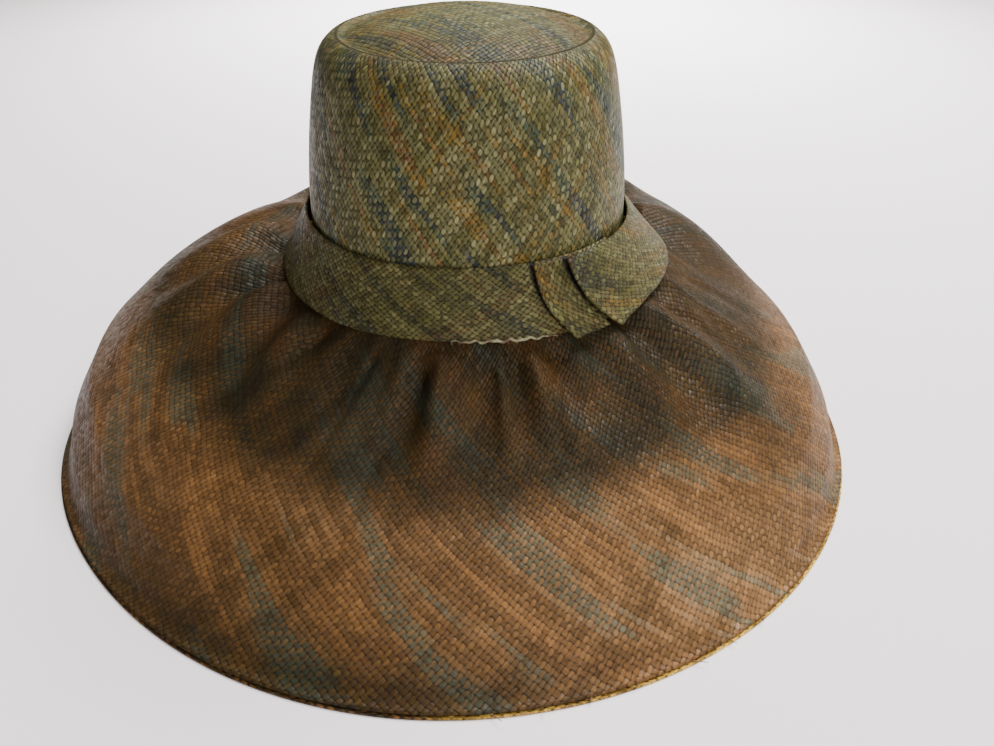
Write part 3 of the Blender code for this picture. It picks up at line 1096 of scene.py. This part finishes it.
def straw_material(
    name, seed, first, second, widths=STRIP_WIDTHS, contrast=CONTRAST, depth=GAP_SHADE,
    stripe_strips=STRIPE_STRIPS,
):
    """Woven straw, whose two families of strips take their colours from their own rows of dyes.

    first and second are pairs of rows, for the warp and the weft. The mesh says how much of the
    second pair shows, and on the band and the tab that is painted shadow. Where it says more than 1,
    the straw is made lighter, and bluer most of all, as painted sheen.
    """
    material = bpy.data.materials.new(name)
    material.use_nodes = True
    w = Wires(material.node_tree)
    shader = material.node_tree.nodes["Principled BSDF"]
    pattern = w.node("ShaderNodeUVMap", uv_map="weave")
    weave = w.node("ShaderNodeGroup", node_tree=weave_group)
    w.feed(weave.inputs["Weave"], pattern.outputs[0])
    weave.inputs["Seed"].default_value = seed
    weave.inputs["Strip Widths"].default_value = (*widths, 1)
    weave.inputs["Stripe Strips"].default_value = stripe_strips
    tint = w.math("MULTIPLY_ADD", weave.outputs["Weft"], WEFT_COVERS - WARP_SHOWS_WEFT, WARP_SHOWS_WEFT)

    def woven(rows):
        colours = [dye_ramp(w, weave.outputs[index], row) for index, row in enumerate(rows)]
        return w.blend("MIX", tint, *colours)

    colour = woven(first)
    away = w.node("ShaderNodeAttribute", attribute_name="second_dyes_and_painted_light")
    spread = w.noise(pattern.outputs[0], SPREAD_SCALE)
    share = w.math("MULTIPLY_ADD", w.math("SUBTRACT", spread, 0.5), SPREAD_DEPTH, away.outputs["Fac"])
    share = w.math("MAXIMUM", w.math("MINIMUM", share, 1.0), 0.0)
    colour = w.blend("MIX", share, colour, woven(second))
    # Above 1, the share is painted sheen, which makes the straw lighter and bluest in its blue.
    painted_sheen = w.math("MAXIMUM", away.outputs["Fac"], 1.0)
    paler = w.vector(painted_sheen, *(w.math("POWER", painted_sheen, power) for power in PAINTED_SHEEN_POWERS))
    colour = w.blend("MULTIPLY", 1.0, colour, paler)
    shade = w.math("MULTIPLY_ADD", weave.outputs["Tone"], contrast, 1 - contrast / 2)
    lit = w.math("SUBTRACT", 1.0, w.math("MULTIPLY", weave.outputs["Gap Shade"], depth))
    shade = w.math("MULTIPLY", shade, lit)
    colour = w.blend("MULTIPLY", 1.0, colour, w.vector(shade, shade, shade))
    w.feed(shader.inputs["Base Color"], colour)
    rough = w.math("MULTIPLY_ADD", weave.outputs["Tone"], TONE_GLOSS, ROUGHNESS)
    w.feed(shader.inputs["Roughness"], rough)
    shader.inputs["IOR"].default_value = STRAW_IOR
    bump = w.node("ShaderNodeBump")
    bump.inputs["Strength"].default_value = 1.0
    bump.inputs["Distance"].default_value = WEAVE_RELIEF
    w.feed(bump.inputs["Height"], weave.outputs["Height"])
    w.feed(shader.inputs["Normal"], bump.outputs[0])
    return material


crown_warp = (
    (0.34, "navy"), (0.40, "teal"), (0.45, "olive"), (0.51, "khaki"),
    (0.57, "olive"), (0.63, "mustard"), (0.70, "rust"),
)
crown_weft = ((0.32, "olive"), (0.44, "khaki"), (0.52, "straw"), (0.60, "khaki"), (0.70, "mustard"))
# These plainer, browner rows are painted shade round the front of the tip's crease.
tip_shade_warp = ((0.34, "slate"), (0.44, "olive"), (0.54, "drab"), (0.66, "brown"))
tip_shade_weft = ((0.34, "drab"), (0.50, "olive"), (0.60, "drab"), (0.68, "mustard"))
# The inner brim's dark dyes are made darker still, as painted shade on the slope under the band.
brim_warp = ((0.34, "slate"), (0.43, "umber"), (0.50, "bark"), (0.58, "sienna"), (0.70, "sienna"))
brim_weft = ((0.32, "umber"), (0.45, "bark"), (0.56, "peat"), (0.66, "brown"))
outer_warp = (
    (0.32, "moss"), (0.40, "grey"), (0.46, "tan"),
    (0.53, "brown"), (0.61, "rust"), (0.70, "orange"),
)
outer_weft = ((0.32, "brown"), (0.44, "tan"), (0.58, "tan"), (0.70, "rust"))
band_warp = ((0.32, "slate"), (0.42, "olive"), (0.51, "khaki"), (0.58, "drab"), (0.68, "mustard"))
band_weft = ((0.34, "olive"), (0.46, "drab"), (0.54, "khaki"), (0.64, "brown"))
# These near-black rows are the painted shadow beside the cut edges.
band_shade = ((0.30, "shadow_black"), (0.70, "shadow_black"))
gold = ((0.30, "tan"), (0.50, "gold"), (0.70, "gold"))

crown.data.materials.append(
    straw_material("crown_straw", 3.0, (crown_warp, crown_weft), (tip_shade_warp, tip_shade_weft))
)
brim.data.materials.append(
    straw_material(
        "brim_straw", 11.0, (brim_warp, brim_weft), (outer_warp, outer_weft),
        BRIM_STRIP_WIDTHS, BRIM_CONTRAST, BRIM_GAP_SHADE, BRIM_STRIPE_STRIPS,
    )
)
for strip, name, seed in ((band, "band_straw", 23.0), (tab, "tab_straw", 31.0)):
    strip.data.materials.append(
        straw_material(
            name, seed, (band_warp, band_weft), (band_shade, band_shade),
            BAND_STRIP_WIDTHS, BAND_CONTRAST, GAP_SHADE, BAND_STRIPE_STRIPS,
        )
    )
for ends, name, dye in (
    (strand, "strand_straw", "straw"),
    (fringe, "fringe_straw", "straw"),
    (rim_ends, "rim_end_straw", "tan"),
):
    material = bpy.data.materials.new(name)
    material.use_nodes = True
    w = Wires(material.node_tree)
    shader = material.node_tree.nodes["Principled BSDF"]
    place = w.node("ShaderNodeTexCoord").outputs["Object"]
    blotch = w.noise(place, BLOTCH_SCALE)
    w.feed(shader.inputs["Base Color"], dye_ramp(w, blotch, ((0.40, "brown"), (0.60, dye))))
    shader.inputs["Roughness"].default_value = ROUGHNESS
    ends.data.materials.append(material)
edging.data.materials.append(
    straw_material("edging_straw", 41.0, (gold, gold), (brim_warp, outer_weft))
)

# %% [markdown]
# ## Floor and light
#
# The hat stands on a plain pale floor. The light is soft and comes from behind and from the
# right, so the slope under the band lies in shade and the flatter straw in front of it shines.

# %% Make the floor
FLOOR_REACH = 6
FLOOR_COLOUR = (0.78, 0.725, 0.725, 1)
FLOOR_ROUGHNESS = 0.8
cloth = bmesh.new()
bmesh.ops.create_grid(cloth, x_segments=1, y_segments=1, size=FLOOR_REACH)
floor_mesh = bpy.data.meshes.new("floor")
cloth.to_mesh(floor_mesh)
cloth.free()
floor = bpy.data.objects.new("floor", floor_mesh)
bpy.context.scene.collection.objects.link(floor)
pale = bpy.data.materials.new("pale_floor")
pale.use_nodes = True
shader = pale.node_tree.nodes["Principled BSDF"]
shader.inputs["Base Color"].default_value = FLOOR_COLOUR
shader.inputs["Roughness"].default_value = FLOOR_ROUGHNESS
floor_mesh.materials.append(pale)

# %% Light it
LIGHTS = (
    # name, place, aim, size, watts, spread
    ("window", (0.65, 0.60, 1.8), (0, 0, 0.08), 1.1, 101, 180),
    ("ceiling", (0.3, 0.9, 2.0), (0.1, 0.2, 0.05), 1.6, 30, 180),
    ("room_side", (0.6, -1.5, 0.6), (0, 0, 0.15), 0.8, 26, 180),
    ("backdrop", (0.2, 1.7, 1.2), (0.1, 1.5, 0), 1.2, 38, 80),
)
ROOM_COLOUR = (1.0, 0.955, 0.90, 1)
ROOM_LIGHT = 0.17
for name, place, aim, size, watts, spread in LIGHTS:
    light = bpy.data.lights.new(name, "AREA")
    light.size = size
    light.energy = watts
    light.spread = math.radians(spread)
    lamp = bpy.data.objects.new(name, light)
    lamp.location = place
    lamp.rotation_euler = (Vector(aim) - Vector(place)).to_track_quat("-Z", "Y").to_euler()
    bpy.context.scene.collection.objects.link(lamp)
world = bpy.data.worlds.new("room")
world.use_nodes = True
background = world.node_tree.nodes["Background"]
background.inputs["Color"].default_value = ROOM_COLOUR
background.inputs["Strength"].default_value = ROOM_LIGHT
bpy.context.scene.world = world
print(len(LIGHTS), "lights")
